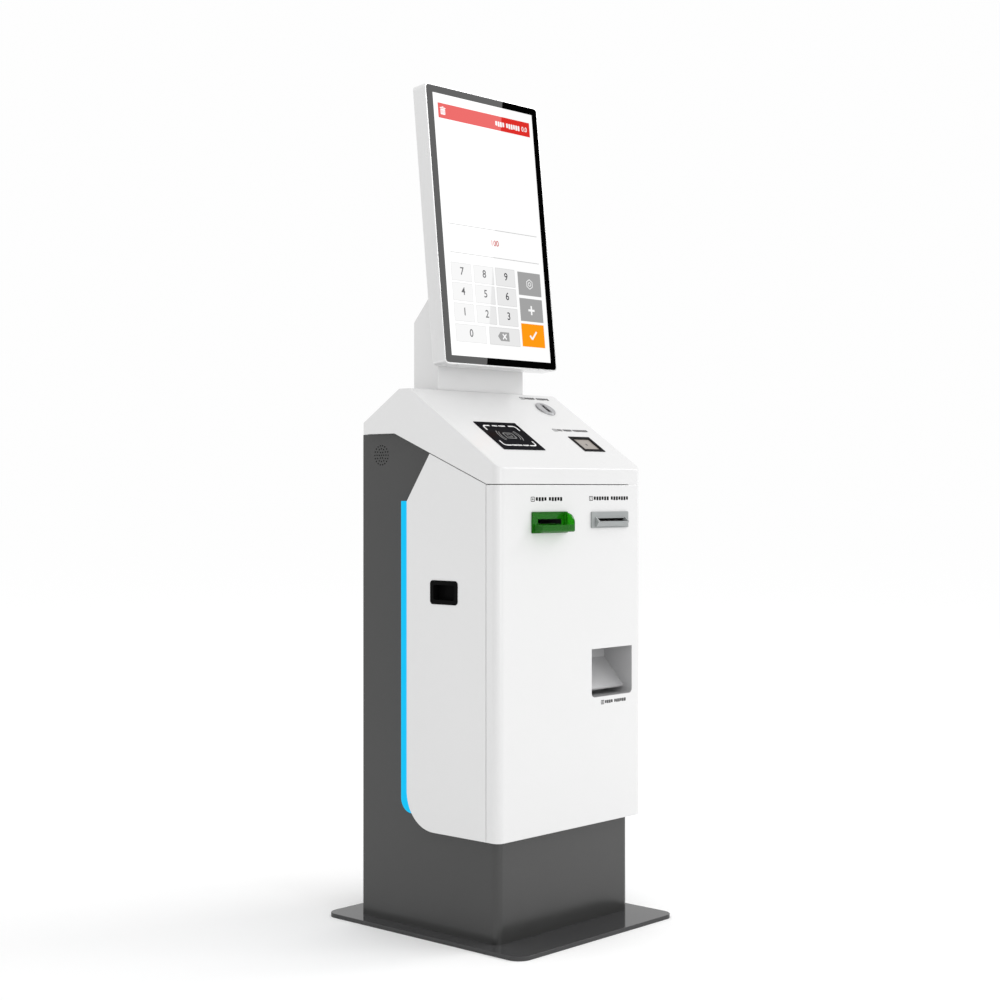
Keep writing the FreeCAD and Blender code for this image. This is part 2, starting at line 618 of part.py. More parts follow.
def make_speakers():
    speakers = []
    for side in (-1, 1):
        near = f"{INNER} - 0.3"
        steps = (("3", "speaker_flange", "0"), ("9", "speaker_frame", "3"),
                 ("10", "magnet_radius", "12"))
        parts = []
        for length, radius, back in steps:
            x = f"-({near}) + {back}" if side < 0 else f"{near} - {back} - {length}"
            parts.append(rod((x, "speaker_y", "speaker_z"), radius, length, "x"))
        speakers.append(join(*parts))
    label(group(*speakers), "speakers")


# ---------------------------------------------------------------- neck and monitor

def screen_back(z):
    """Where the monitor's back face lies at a height z."""
    return f"(screen_y + screen_thick / cos(screen_tilt) + (({z}) - screen_z) * tan(screen_tilt) + 0.3)"


def make_neck():
    neck = start("neck")
    add(neck, "YZ", "-neck_width / 2", "neck_width",
        poly(("neck_front", "bridge_z"), ("neck_back", "bridge_z"), ("neck_back", "neck_back_top"),
             (screen_back("neck_tip"), "neck_tip"), (screen_back("neck_step"), "neck_step"),
             ("neck_front", "neck_step")))
    soften(neck, "neck_round", edges(neck, "z", y="neck_back") + edges(neck, "z", y="neck_front"))
    wall = "neck_wall"
    cut(neck, "YZ", "-neck_width / 2 + neck_wall", "neck_width - 2 * neck_wall",
        poly((f"neck_front + {wall}", "bridge_z - 1"), (f"neck_back - {wall}", "bridge_z - 1"),
             (f"neck_back - {wall}", "neck_back_top - neck_wall / 2"),
             (f"neck_front + {wall}", "neck_back_top + (neck_back - neck_front) * 0.95")))


def make_monitor():
    frame = start("monitor_frame")
    half, tall = "screen_width / 2", "screen_length"
    lip = "glass_proud"
    add(frame, "XZ", lip, f"screen_thick - {lip}", rect(f"-{half}", "0", half, tall, "screen_round"))
    soften(frame, "edge_round", edges(frame, y="screen_thick"))
    cut(frame, "XZ", lip, f"screen_thick - {lip}",
        rect(f"-{half} + screen_wall", "screen_wall", f"{half} - screen_wall",
             f"{tall} - screen_wall", "screen_round - screen_wall"))
    on_screen(frame)
    glass = start("touch_glass")
    add(glass, "XZ", "0", "glass_thick",
        rect(f"-{half} + screen_wall", "screen_wall", f"{half} - screen_wall",
             f"{tall} - screen_wall", "screen_round - screen_wall"))
    on_screen(glass)
    panel = start("lcd_panel")
    add(panel, "XZ", "glass_thick", "lcd_thick",
        around("0", f"{tall} / 2", "lcd_width", "lcd_length"))
    on_screen(panel)
    cover = start("monitor_back")
    add(cover, "XZ", "screen_thick - cover_thick", "cover_thick",
        rect(f"-{half} + screen_wall", "screen_wall", f"{half} - screen_wall",
             f"{tall} - screen_wall", "screen_round - screen_wall"))
    vents = cut(cover, "XZ", "screen_thick - cover_thick", "cover_thick",
                *[around(f"{side} * screen_width / 4", f"{tall} * 0.75", "vent_length",
                         "vent_height", "vent_height / 2.1") for side in (-1, 1)])
    repeat(cover, vents, "Z_Axis", f"{LOUVRE_ROWS - 1} * vent_pitch", LOUVRE_ROWS)
    cut(cover, "XZ", "screen_thick - cover_thick", "cover_thick",
        *[disc(f"{x} * vesa", f"screen_length / 4 + {z} * vesa", "vesa_hole")
          for x in (-1, 1) for z in (-1, 1)])
    on_screen(cover)


# ---------------------------------------------------------------- readers in the slope

def make_slope_parts():
    window = start("nfc_window")
    add(window, "XY", "0", "nfc_proud", around("nfc_x", "nfc_s", "nfc_width", "nfc_length"))
    add(window, "XY", "-sheet", "sheet",
        around("nfc_x", "nfc_s", "nfc_width - 2 * slope_rim - 1", "nfc_length - 2 * slope_rim - 1"))
    on_slope(window)
    reader = group(block(("nfc_x - nfc_width / 2 + 2 * slope_rim", "nfc_s - nfc_length / 2 + slope_rim",
                          "-sheet - reader_thick"),
                         ("nfc_x + nfc_width / 2 - 2 * slope_rim",
                          "nfc_s + nfc_length / 2 - slope_rim", "-sheet")))
    on_slope(label(reader, "nfc_reader"))
    frame = start("scan_frame")
    add(frame, "XY", "0", "scan_proud", around("scan_x", "scan_s", "scan_width", "scan_length"))
    add(frame, "XY", "-scan_well", "scan_well",
        around("scan_x", "scan_s", "scan_width - 2 * slope_rim - 1",
               "scan_length - 2 * slope_rim - 1"))
    opening = around("scan_x", "scan_s", "scan_width - 2 * scan_frame",
                     "scan_length - 2 * scan_frame")
    cut(frame, "XY", "-scan_well", "scan_well + scan_proud", opening)
    on_slope(frame)
    glass = start("scan_window")
    add(glass, "XY", "scan_proud - 2 * scan_glass", "scan_glass", opening)
    on_slope(glass)
    scanner = start("code_scanner")
    add(scanner, "XY", "-scan_well - scanner_thick", "scanner_thick",
        around("scan_x", "scan_s", "scan_width - 2 * slope_rim", "scan_length - 2 * slope_rim"))
    cut(scanner, "XY", "-scan_well - scanner_thick / 2", "scanner_thick / 2",
        disc("scan_x", "scan_s", "scan_length / 4"))
    on_slope(scanner)
    bezel = start("coin_bezel")
    add(bezel, "XY", "0", "coin_proud", disc("coin_x", "coin_s", "coin_radius"))
    soften(bezel, "edge_round", edges(bezel, z="coin_proud"))
    add(bezel, "XY", "-coin_shank_depth", "coin_shank_depth", disc("coin_x", "coin_s", "coin_shank"))
    cut(bezel, "XY", "-coin_shank_depth", "coin_shank_depth + coin_proud",
        around("coin_x", "coin_s", "coin_slot_width", "coin_slot_length - 4"))
    cut(bezel, "XY", "coin_proud - 1", "1",
        around("coin_x", "coin_s", "coin_slot_width + 6", "coin_slot_length + 4",
               "coin_slot_width / 2 + 2.9"))
    on_slope(bezel)


# ---------------------------------------------------------------- modules on the front door

def make_bill_bezel():
    """Moulded nose: a back plate, a lower lip that sticks out, and one curved cheek."""
    nose = start("bill_bezel")
    x0, x1 = "(bill_x - bill_width / 2)", "(bill_x + bill_width / 2)"
    z0, z1 = "(bill_z - bill_height / 2)", "(bill_z + bill_height / 2)"
    face = "(front_face - bill_plate)"
    root = f"({face} + bill_plate / 4)"
    reach = f"({face} - bill_nose + bill_plate)"
    low = f"({z0} + bill_lip_gap)"
    add(nose, "XZ", face, "bill_plate", rect(x0, z0, x1, z1, "bill_plate / 2"))
    top = f"({z1} - bill_lip_gap)"
    add(nose, "YZ", f"{x1} - bill_inset - bill_cheek", "bill_cheek",
        poly((root, low), (reach, low), (reach, top), (root, top)))
    soften(nose, "bill_sweep", edges(nose, "x", y=reach, z=top))
    add(nose, "YZ", f"{x0} + bill_left", "bill_width - bill_left - bill_inset",
        poly((root, low), (reach, low), (reach, f"{z0} + bill_lip"),
             (root, f"{z0} + bill_lip + bill_mouth_lift")))
    soften(nose, "bill_cheek", edges(nose, "x", y=reach, z=low))
    cut(nose, "XZ", face, "bill_plate",
        around("bill_x", BILL_SLOT, "bill_mouth", "bill_mouth_height"))
    add(nose, "XZ", "front_face", "sheet",
        rect(f"{x0} + bill_inset + 0.5", f"{z0} + bill_inset + 0.5",
             f"{x1} - bill_inset - 0.5", f"{z0} + bill_lip - 1"))


def make_validator():
    body = start("bill_validator")
    front = "(front_face + sheet)"
    x0, x1 = "(bill_x - validator_width / 2)", "(bill_x + validator_width / 2)"
    add(body, "XZ", front, f"validator_back - {front}",
        rect(x0, "validator_low", x1, "validator_high", "3"))
    cut(body, "XZ", front, f"validator_back - {front} - inset",
        around("bill_x", BILL_SLOT, "bill_path", "bill_mouth_height"))
    cut(body, "YZ", "bill_x - roller_length / 2 - 2", "roller_length + 4",
        rect("roller_y - roller_pocket / 2", f"{BILL_SLOT} - bill_mouth_height / 2 - roller_pocket",
             "roller_y + roller_pocket / 2", BILL_SLOT))
    z = f"{BILL_SLOT} - bill_mouth_height / 2 - roller_radius + 1"
    cut(body, "YZ", "bill_x - roller_length / 2 - 5", "roller_length + 10",
        disc("roller_y", z, "roller_shaft + hinge_fit"))
    shaft = rod(("bill_x - roller_length / 2 - 4", "roller_y", z), "roller_shaft",
                "roller_length + 8", "x")
    pads = [rod((f"bill_x + {side} * roller_length / 4 - roller_pad / 2", "roller_y", z),
                "roller_radius", "roller_pad", "x") for side in (-1, 1)]
    label(join(shaft, *pads), "bill_rollers")
    box = start("cash_box")
    add(box, "XZ", "cash_front", "cash_back - cash_front",
        rect(f"{x0} + 1", "cash_low", f"{x1} - 1", "validator_low - cash_gap", "4"))
    cut(box, "XZ", "cash_front + 2", "cash_back - cash_front - 4",
        rect(f"{x0} + 3", "cash_low + 2", f"{x1} - 3", "validator_low - cash_gap - 3"))
    add(box, "XZ", "cash_back", "cash_grip_out",
        around("bill_x", "(cash_low + validator_low) / 2 + inset", "cash_grip * 2", "cash_grip / 3"))
    rails = start("cash_box_rails")
    add(rails, "XZ", front, f"cash_back - {front}",
        poly((f"{x0} - 2", "cash_low - 3"), (f"{x1} + 2", "cash_low - 3"),
             (f"{x1} + 2", "validator_low + inset"), (f"{x1} + 0.5", "validator_low + inset"),
             (f"{x1} + 0.5", "cash_low - 1"), (f"{x0} - 0.5", "cash_low - 1"),
             (f"{x0} - 0.5", "validator_low + inset"), (f"{x0} - 2", "validator_low + inset")))


def make_printer():
    bezel = start("printer_bezel")
    x0, x1 = "(print_x - print_width / 2)", "(print_x + print_width / 2)"
    z0, z1 = "(print_z - print_height / 2)", "(print_z + print_height / 2)"
    face = "(front_face - print_plate)"
    add(bezel, "XZ", face, "print_plate", rect(x0, z0, x1, z1, "2"))
    slot_low = "(print_z - print_slot_height / 2)"
    ends = "(print_slot / 2 + print_cheek)"
    add(bezel, "YZ", f"print_x - {ends}", f"2 * {ends}",
        poly((f"{face} + 1", f"{slot_low} - print_chin_height"),
             (f"{face} - print_chin / 3", f"{slot_low} - print_chin_height"),
             (f"{face} - print_chin", f"{slot_low} - 2"), (f"{face} - print_chin", slot_low),
             (f"{face} + 1", slot_low)))
    for side in (-1, 1):
        x = f"print_x + {side} * (print_slot / 2 + print_cheek / 2) - print_cheek / 2"
        add(bezel, "YZ", x, "print_cheek",
            poly((f"{face} + 1", f"{slot_low} - 1"), (f"{face} - print_chin", f"{slot_low} - 1"),
                 (f"{face} - print_chin", f"{slot_low} + 1"),
                 (f"{face} + 1", f"{slot_low} + print_slot_height + 4")))
    cut(bezel, "XZ", face, "print_plate",
        around("print_x", "print_z", "print_slot", "print_slot_height"))
    add(bezel, "XZ", "front_face", "sheet",
        around("print_x", f"{z1} - bill_inset - 2.5", "print_width - 2 * bill_inset - 1", "3.5"))

    chassis = start("printer_chassis")
    x0, x1 = "(print_x - printer_width / 2)", "(print_x + printer_width / 2)"
    front = "(front_face + sheet)"
    add(chassis, "XZ", front, f"roll_back - {front}",
        poly((x0, "printer_low"), (x1, "printer_low"), (x1, "printer_high"),
             (f"{x1} - side_plate", "printer_high"), (f"{x1} - side_plate", "printer_low + side_plate"),
             (f"{x0} + side_plate", "printer_low + side_plate"),
             (f"{x0} + side_plate", "printer_high"), (x0, "printer_high")))
    cut(chassis, "XY", "printer_low", "side_plate",
        rect(f"{x0} + side_plate", "printer_back", f"{x1} - side_plate", "roll_back + 1"))
    cut(chassis, "YZ", x0, "printer_width",
        disc("platen_y", f"{TICKET_Z} - platen_radius", "platen_shaft + hinge_fit"))
    head = start("print_head")
    add(head, "XZ", "head_front", "head_back - head_front",
        rect(f"{x0} + side_plate", f"{TICKET_Z} + platen_gap", f"{x1} - side_plate",
             "printer_high - 2"))
    add(head, "XZ", "head_back", "14",
        rect(f"{x0} + side_plate", "printer_high - 10", f"{x1} - side_plate", "printer_high - 2"))
    add(chassis, "XZ", front, f"platen_y - platen_radius - 1 - {front}",
        rect(f"{x0} + side_plate / 2", f"{TICKET_Z} - 4", f"{x1} - side_plate / 2", f"{TICKET_Z} - 1.5"))
    add(chassis, "YZ", f"{x0} + side_plate / 2", "printer_width - side_plate",
        disc("roll_y", "roll_z", "spindle_radius"))

    z = f"{TICKET_Z} - platen_radius"
    platen = rod((f"{x0} + side_plate + 1", "platen_y", z), "platen_radius",
                 "printer_width - 2 * side_plate - 2", "x")
    shaft = rod((f"{x0} - 2", "platen_y", z), "platen_shaft", "printer_width + 9", "x")
    gear = rod((f"{x1} + 1", "platen_y", z), "gear_radius", "gear_thick", "x")
    label(join(platen, shaft, gear), "platen_roller")
    roll = less(rod(("print_x - roll_width / 2", "roll_y", "roll_z"), "roll_radius", "roll_width", "x"),
                rod(("print_x - roll_width / 2 - 1", "roll_y", "roll_z"), "roll_core",
                    "roll_width + 2", "x"))
    label(roll, "paper_roll")


def make_tray():
    """The scoop that coins and change drop into, open to the front."""
    tray = start("outlet_tray")
    x0, x1 = "(tray_x - tray_width / 2)", "(tray_x + tray_width / 2)"
    z0, z1 = "tray_low", "(tray_low + tray_height)"
    front = "(front_face + sheet)"
    wall = "tray_wall"
    add(tray, "XZ", front, f"tray_back - {front}",
        poly((f"{x0} - {wall}", f"{z0} - {wall}", f"tray_round + {wall}"),
             (f"{x1} + {wall}", f"{z0} - {wall}", f"tray_round + {wall}"),
             (f"{x1} + {wall}", f"{z1} + {wall}"), (f"{x0} - {wall}", f"{z1} + {wall}")))
    cut(tray, "XZ", front, f"tray_back - {front} - {wall}",
        poly((x0, z0, "tray_round"), (x1, z0, "tray_round"), (x1, z1), (x0, z1)))
    cut(tray, "XY", z1, wall,
        rect("tray_x - tray_inlet / 2", f"tray_back - {wall} - tray_inlet_depth",
             "tray_x + tray_inlet / 2", f"tray_back - {wall}"))
    add(tray, "YZ", f"{x0} - {wall} / 2", f"tray_width + {wall}",
        poly((f"tray_back - {wall} / 2", f"{z1} - 26"), (f"tray_back - {wall} / 2", f"{z1} - 30"),
             (f"{front} + 22", f"{z0} + tray_round + 2"), (f"{front} + 20", f"{z0} + tray_round + 5")))


# ---------------------------------------------------------------- coin handling

def make_coin_path():
    y0 = f"(front_face + coin_s * cos({SLOPE}) - chute_length / 2)"
    y1 = f"({y0} + chute_length)"
    x0, x1 = "(coin_x - chute_width / 2)", "(coin_x + chute_width / 2)"
    top = "(acceptor_high + chute_rise)"
    wall = "chute_wall"
    upper = less(block((f"{x0} - {wall}", f"{y0} - {wall}", "acceptor_high"),
                       (f"{x1} + {wall}", f"{y1} + {wall}", top)),
                 block((x0, y0, "acceptor_high - 1"), (x1, y1, f"{top} + 1")))
    body = start("coin_acceptor")
    add(body, "XY", "acceptor_low", "acceptor_high - acceptor_low",
        rect("coin_x - acceptor_width / 2", "acceptor_front", "coin_x + acceptor_width / 2",
             "acceptor_back", "3"))
    cut(body, "XY", "acceptor_low - 1", "acceptor_high - acceptor_low + 2", rect(x0, y0, x1, y1))
    cut(body, "YZ", "coin_x - acceptor_width / 2", "acceptor_width / 2",
        rect("acceptor_front + 8", "acceptor_low + 8", y0, "acceptor_high - 8"))

    flap_z = "(acceptor_high - 12 - flap_shaft)"
    flap_y = "(acceptor_front + 8 + flap_gap + flap_shaft)"
    flap_x = "(coin_x - acceptor_width / 2 + 6)"
    cut(body, "YZ", "coin_x", "flap_bearing", disc(flap_y, flap_z, "flap_shaft + hinge_fit"))
    pin_rod = rod((flap_x, flap_y, flap_z), "flap_shaft",
                  f"coin_x + flap_bearing - 0.5 - {flap_x}", "x")
    blade = block((flap_x, f"{flap_y} - flap_thick / 2", f"{flap_z} - flap_length"),
                  (f"{flap_x} + flap_width", f"{flap_y} + flap_thick / 2", flap_z))
    label(join(pin_rod, blade), "reject_lever")

    drop = less(block((f"{x0} - {wall}", f"{y0} - {wall}", "hopper_high + 6"),
                      (f"{x1} + {wall}", f"{y1} + {wall}", "acceptor_low")),
                block((x0, y0, "hopper_high"), (x1, y1, "acceptor_low + 1")))
    label(group(upper, drop), "coin_chutes")


def make_hopper():
    hopper = start("coin_hopper")
    x0, x1 = "(tray_x - hopper_width / 2)", "(tray_x + hopper_width / 2)"
    middle = "((hopper_front + hopper_back) / 2)"
    add(hopper, "XY", "shelf_z", "hopper_high - shelf_z",
        rect(x0, "hopper_front", x1, "hopper_back", "4"))
    cut(hopper, "XY", "hopper_floor", "hopper_high - hopper_floor",
        disc("tray_x", middle, "hopper_bowl"))
    cut(hopper, "XY", "hopper_high - inset", "inset",
        rect(f"{x0} + 3", "hopper_front + 3", f"{x1} - 3", "hopper_back - 3", "3"))
    cut(hopper, "XZ", "hopper_front", f"{middle} - hopper_front",
        around("tray_x", "hopper_floor + disc_lift + disc_thick + 4", "run_width", "7"))
    wheel = start("hopper_disc")
    add(wheel, "XY", "hopper_floor + disc_lift", "disc_thick", disc("tray_x", middle, "disc_radius"))
    add(wheel, "XY", "hopper_floor + disc_lift + disc_thick", "disc_thick * 2",
        disc("tray_x", middle, "disc_hub"))
    turn = 360 / DISC_HOLES
    cut(wheel, "XY", "hopper_floor + disc_lift", "disc_thick",
        *[disc(f"tray_x + disc_pitch * cos({turn * i})", f"{middle} + disc_pitch * sin({turn * i})",
               "disc_hole") for i in range(DISC_HOLES)])
    run = start("coin_run")
    wall = "chute_wall"
    high = "hopper_floor + disc_lift + disc_thick"
    add(run, "YZ", f"tray_x - run_width / 2 - {wall}", f"run_width + 2 * {wall}",
        poly(("run_front", "run_low"), ("hopper_front", f"{high} - 6"),
             ("hopper_front", f"{high} + 8"), ("run_front", "run_low + 14")))
    cut(run, "YZ", "tray_x - run_width / 2", "run_width",
        poly(("run_front - 1", f"run_low + {wall}"), ("hopper_front", f"{high} - 6 + {wall}"),
             ("hopper_front", f"{high} + 9"), ("run_front - 1", "run_low + 15")))


# ---------------------------------------------------------------- control and power

def finned_box(name, x0, x1, y0, y1, z0, height):
    box = start(name)
    add(box, "XY", z0, height, rect(x0, y0, x1, y1, "2"))
    count = int(number(f"(({x1}) - ({x0}) - 2 * fin_pitch) / fin_pitch"))
    fin = add(box, "XY", f"{z0} + {height} - 1", "fin_height + 1",
              rect(f"{x0} + fin_pitch", f"{y0} + fin_height", f"{x0} + fin_pitch + fin_thick",
                   f"{y1} - fin_height"))
    repeat(box, fin, "X_Axis", f"{count} * fin_pitch", count + 1)


def make_power_inlet():
    inlet = start("power_inlet")
    x0 = "(inlet_x - inlet_width / 4 - 1)"
    middle = f"({x0} + inlet_width / 2)"
    add(inlet, "XZ", "core_back", "inlet_flange",
        around(middle, "inlet_z", "inlet_width", "inlet_height", "3"))
    add(inlet, "XZ", "core_back - inlet_depth", "inlet_depth",
        around(middle, "inlet_z", "inlet_width - 3 * inlet_flange", "inlet_height - 3 * inlet_flange"))
    cut(inlet, "XZ", "core_back + inlet_flange - socket_depth", "socket_depth",
        around("inlet_x", "inlet_z", "socket_width", "socket_height", "3"))
    cut(inlet, "XZ", "core_back + inlet_flange - switch_depth", "switch_depth",
        around("inlet_x + inlet_width / 2", "inlet_z", "switch_width", "switch_height"))
    cut(inlet, "YZ", "inlet_x + inlet_width / 2 - switch_width / 2 - 2", "switch_width + 4",
        disc("core_back", "inlet_z", "rocker_pin + hinge_fit"))
    pins = [block((f"inlet_x + {i} * 7 - 1", "core_back + inlet_flange - socket_depth",
                   f"inlet_z - 2 + {up}"),
                  (f"inlet_x + {i} * 7 + 1", "core_back - 3", f"inlet_z + 2 + {up}"))
            for i, up in ((-1, "-2"), (0, "3"), (1, "-2"))]
    nodes.remove(inlet)
    inlet.Label = "inlet_housing"
    label(join(inlet, *pins), "power_inlet")
    rocker = start("rocker_cap")
    half = "(switch_height / 2 - rocker_gap - 1)"
    face = "(core_back + inlet_flange)"
    add(rocker, "YZ", "inlet_x + inlet_width / 2 - switch_width / 2 + rocker_gap",
        "switch_width - 2 * rocker_gap",
        poly((f"{face} - rocker_rise", f"inlet_z - {half}"), (f"{face} + rocker_rise", f"inlet_z - {half}"),
             (f"{face} + 1", "inlet_z"), (f"{face} + 1", f"inlet_z + {half}"),
             (f"{face} - rocker_rise", f"inlet_z + {half}"), (f"{face} - 2 * rocker_rise", "inlet_z")))
    nodes.remove(rocker)
    pivot = rod(("inlet_x + inlet_width / 2 - switch_width / 2 - rocker_pin", "core_back", "inlet_z"),
                "rocker_pin", "switch_width + 2 * rocker_pin", "x")
    label(join(rocker, pivot), "power_rocker")


# ---------------------------------------------------------------- rear door

def make_rear_door():
    door = start("rear_door")
    half = f"({INNER} - rear_jamb - rear_gap)"
    low, high = "(rear_sill + rear_gap)", "(rear_head - rear_gap)"
    add(door, "XZ", "core_back - rear_depth", "rear_depth", rect(f"-{half}", low, half, high, "2"))
    soften(door, "edge_round", edges(door, y="core_back"))
    cut(door, "XZ", "core_back - rear_depth", "rear_depth - sheet",
        rect(f"-{half} + sheet", f"{low} + sheet", f"{half} - sheet", f"{high} - sheet"))
    for z in ("rear_sill + 2 * inset", "fan_z - fan_size / 2"):
        vents = cut(door, "XZ", "core_back - sheet", "sheet",
                    *[around(f"{side} * vent_length * 0.65", z, "vent_length", "vent_height",
                             "vent_height / 2.1") for side in (-1, 1)])
        repeat(door, vents, "Z_Axis", f"{LOUVRE_ROWS - 1} * vent_pitch * 0.8", LOUVRE_ROWS)
    cut(door, "XZ", "core_back - sheet", "sheet", disc("lock_x", "lock_z", "lock_radius"))
    wall = "(core_back - sheet)"
    rim = rod(("lock_x", "core_back", "lock_z"), "lock_rim", "lock_rim_thick", "y")
    barrel = rod(("lock_x", f"{wall} - lock_depth", "lock_z"), "lock_radius", "lock_depth + sheet", "y")
    bore = rod(("lock_x", f"{wall} - lock_depth - 1", "lock_z"), "lock_plug + hinge_fit",
               "lock_depth + 2 * inset", "y")
    label(less(join(rim, barrel), bore), "rear_lock_barrel")
    plug = rod(("lock_x", f"{wall} - lock_depth - 1", "lock_z"), "lock_plug",
               "lock_depth + sheet + 2.5", "y")
    keyway = block(("lock_x - 0.8", "core_back - 4", "lock_z - 4"),
                   ("lock_x + 0.8", "core_back + inset", "lock_z + 4"))
    cam = block(("lock_x - cam_width / 2", f"{wall} - lock_depth - 1 - cam_thick", "lock_z - cam_width / 2"),
                ("lock_x + cam_width / 2", f"{wall} - lock_depth - 1", "lock_z + cam_length"))
    label(less(join(plug, cam), keyway), "rear_lock_cam")


def make_fan():
    frame = start("fan_frame")
    back = "(core_back - sheet)"
    add(frame, "XZ", f"{back} - fan_depth", "fan_depth",
        around("0", "fan_z", "fan_size", "fan_size", "4"), disc("0", "fan_z", "fan_bore"))
    strut = [around("0", "fan_z", "3", "2 * fan_bore + 1"), ]
    add(frame, "XZ", f"{back} - fan_depth", "3", *strut)
    add(frame, "XZ", f"{back} - fan_depth", "3", around("0", "fan_z", "2 * fan_bore + 1", "3"))
    add(frame, "XZ", f"{back} - fan_depth", "3", disc("0", "fan_z", "fan_hub"))
    cut(frame, "XZ", f"{back} - fan_depth", "fan_depth",
        *[disc(f"{x} * fan_screw", f"fan_z + {z} * fan_screw", "1.8") for x in (-1, 1) for z in (-1, 1)])
    rotor = start("fan_rotor")
    add(rotor, "XZ", "0", "blade_depth + 2", disc("0", "0", "fan_hub"))
    add(rotor, "XZ", "0", "blade_depth",
        rect("-blade_thick / 2", "fan_hub - 2", "blade_thick / 2", "fan_blade"))
    blade = rotor.Tip
    pattern = rotor.newObject("PartDesign::PolarPattern", "blades")
    pattern.Originals = [blade]
    axis = next(item for item in rotor.Origin.OriginFeatures if item.Role == "Y_Axis")
    pattern.Axis = (axis, [""])
    pattern.Angle = 360
    pattern.Occurrences = FAN_BLADES
    rotor.Tip = pattern
    seat(rotor, "0", "0", f"{back} - fan_depth + 3.6", "fan_z")


# ---------------------------------------------------------------- hinges and screws

def knuckle(at, low, high):
    x, y = at
    return less(rod((x, y, low), "hinge_knuckle", f"({high}) - ({low})"),
                rod((x, y, f"({low}) - 1"), "hinge_pin + hinge_fit", f"({high}) - ({low}) + 2"))


def hinge(at, fixed_leaf, moving_leaf, fixed_name, moving_name):
    """Three exposed hinges on one axis. The leaves are given as x and y spans."""
    fixed, moving, pins = [], [], []
    x, y = at
    third = "hinge_length / 3"
    for z in HINGE_HEIGHTS:
        spans = [(f"{z} - hinge_length / 2", f"{z} - hinge_length / 2 + {third} - knuckle_gap"),
                 (f"{z} - {third} / 2", f"{z} + {third} / 2"),
                 (f"{z} + hinge_length / 2 - {third} + knuckle_gap", f"{z} + hinge_length / 2")]
        for i, (low, high) in enumerate(spans):
            (x0, x1), (y0, y1) = moving_leaf if i == 1 else fixed_leaf
            leaf = less(block((x0, y0, low), (x1, y1, high)),
                        rod((x, y, f"{low} - 1"), "hinge_pin + hinge_fit", f"({high}) - ({low}) + 2"))
            piece = join(leaf, knuckle(at, low, high))
            (moving if i == 1 else fixed).append(piece)
        pins.append(rod((x, y, f"{z} - hinge_length / 2 - 1"), "hinge_pin", "hinge_length + 2"))
    label(group(*fixed), fixed_name)
    label(group(*moving), moving_name)
    return pins


def make_hinges():
    x = f"({HALF} + hinge_knuckle + knuckle_clear)"
    y = "(return_edge + shut_gap / 2)"
    leaf_x = (HALF, f"{HALF} + leaf_thick")
    pins = hinge((x, y), (leaf_x, ("return_edge + shut_gap", f"{y} + leaf_width")),
                 (leaf_x, (f"{y} - leaf_width", "return_edge")),
                 "front_hinge_fixed", "front_hinge_moving")
    x = f"({INNER} - rear_jamb - rear_gap / 2)"
    y = "(core_back + hinge_knuckle + knuckle_clear)"
    leaf_y = ("core_back", "core_back + leaf_thick")
    pins += hinge((x, y), ((f"{x} + rear_gap / 2", f"{x} + leaf_width - 1"), leaf_y),
                  ((f"{x} - leaf_width", f"{x} - rear_gap / 2"), leaf_y),
                  "rear_hinge_fixed", "rear_hinge_moving")
    label(group(*pins), "hinge_pins")


def make_screws():
    heads = [rod((f"{x} * case_width * 0.4", "hood_back", "(hood_low + hood_back_top) / 2"),
                 "screw_radius", "screw_height", "y") for x in (-1, 0, 1)]
    backs = [rod((f"{x} * (screen_width / 2 - screw_edge)", "screen_thick",
                  f"screen_length / 2 + {z} * (screen_length / 2 - screw_edge)"),
                 "screw_radius", "screw_height", "y") for x in (-1, 1) for z in (-1, 0, 1)]
    label(group(*heads, on_screen(group(*backs))), "cover_screws")


make_base_plate()
make_floor_pan()
make_base_bolts()
make_cabinet_shell()
make_frames()
make_shelves()
make_hood()
make_front_door()
make_side_panel("side_panel_left", -1)
make_side_panel("side_panel_right", 1)
make_side_pull()
make_lights()
make_speakers()
make_neck()
make_monitor()
make_slope_parts()
make_bill_bezel()
make_validator()
make_printer()
make_tray()
make_coin_path()
make_hopper()
finned_box("controller_box", "control_left", "control_right", "control_front", "control_back",
           "shelf_z", "control_height")
finned_box("power_supply", "supply_left", "supply_right", "supply_front", "supply_back",
           FLOOR, "supply_height")
make_power_inlet()
make_rear_door()
make_fan()
make_hinges()
make_screws()

doc.recompute()
for item in doc.Objects:
    if "Invalid" in item.State or "Error" in item.State:
        raise RuntimeError("failed: " + item.Name + " " + item.Label)
os.makedirs("parts", exist_ok=True)
for node in nodes:
    if node.Shape.isNull() or not node.Shape.isValid():
        raise RuntimeError("bad shape: " + node.Label)
    node.Shape.exportStep(f"parts/{node.Label}.step")
print(len(nodes), "sub-parts")
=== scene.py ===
import json
import math

import bmesh
import bpy
from mathutils import Matrix, Vector


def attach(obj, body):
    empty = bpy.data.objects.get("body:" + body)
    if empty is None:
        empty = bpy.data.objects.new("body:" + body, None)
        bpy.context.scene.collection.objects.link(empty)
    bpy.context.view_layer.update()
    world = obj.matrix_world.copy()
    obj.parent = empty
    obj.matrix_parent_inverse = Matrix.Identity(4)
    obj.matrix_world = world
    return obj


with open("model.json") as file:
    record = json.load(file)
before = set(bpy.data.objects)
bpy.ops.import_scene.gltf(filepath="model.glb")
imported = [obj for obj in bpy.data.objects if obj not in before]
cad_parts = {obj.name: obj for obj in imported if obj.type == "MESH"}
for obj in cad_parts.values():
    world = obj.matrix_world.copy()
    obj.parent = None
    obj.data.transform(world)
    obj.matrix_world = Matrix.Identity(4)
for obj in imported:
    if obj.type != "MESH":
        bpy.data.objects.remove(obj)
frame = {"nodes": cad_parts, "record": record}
nodes, record = frame["nodes"], frame["record"]
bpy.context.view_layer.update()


# ---------------------------------------------------------------- camera

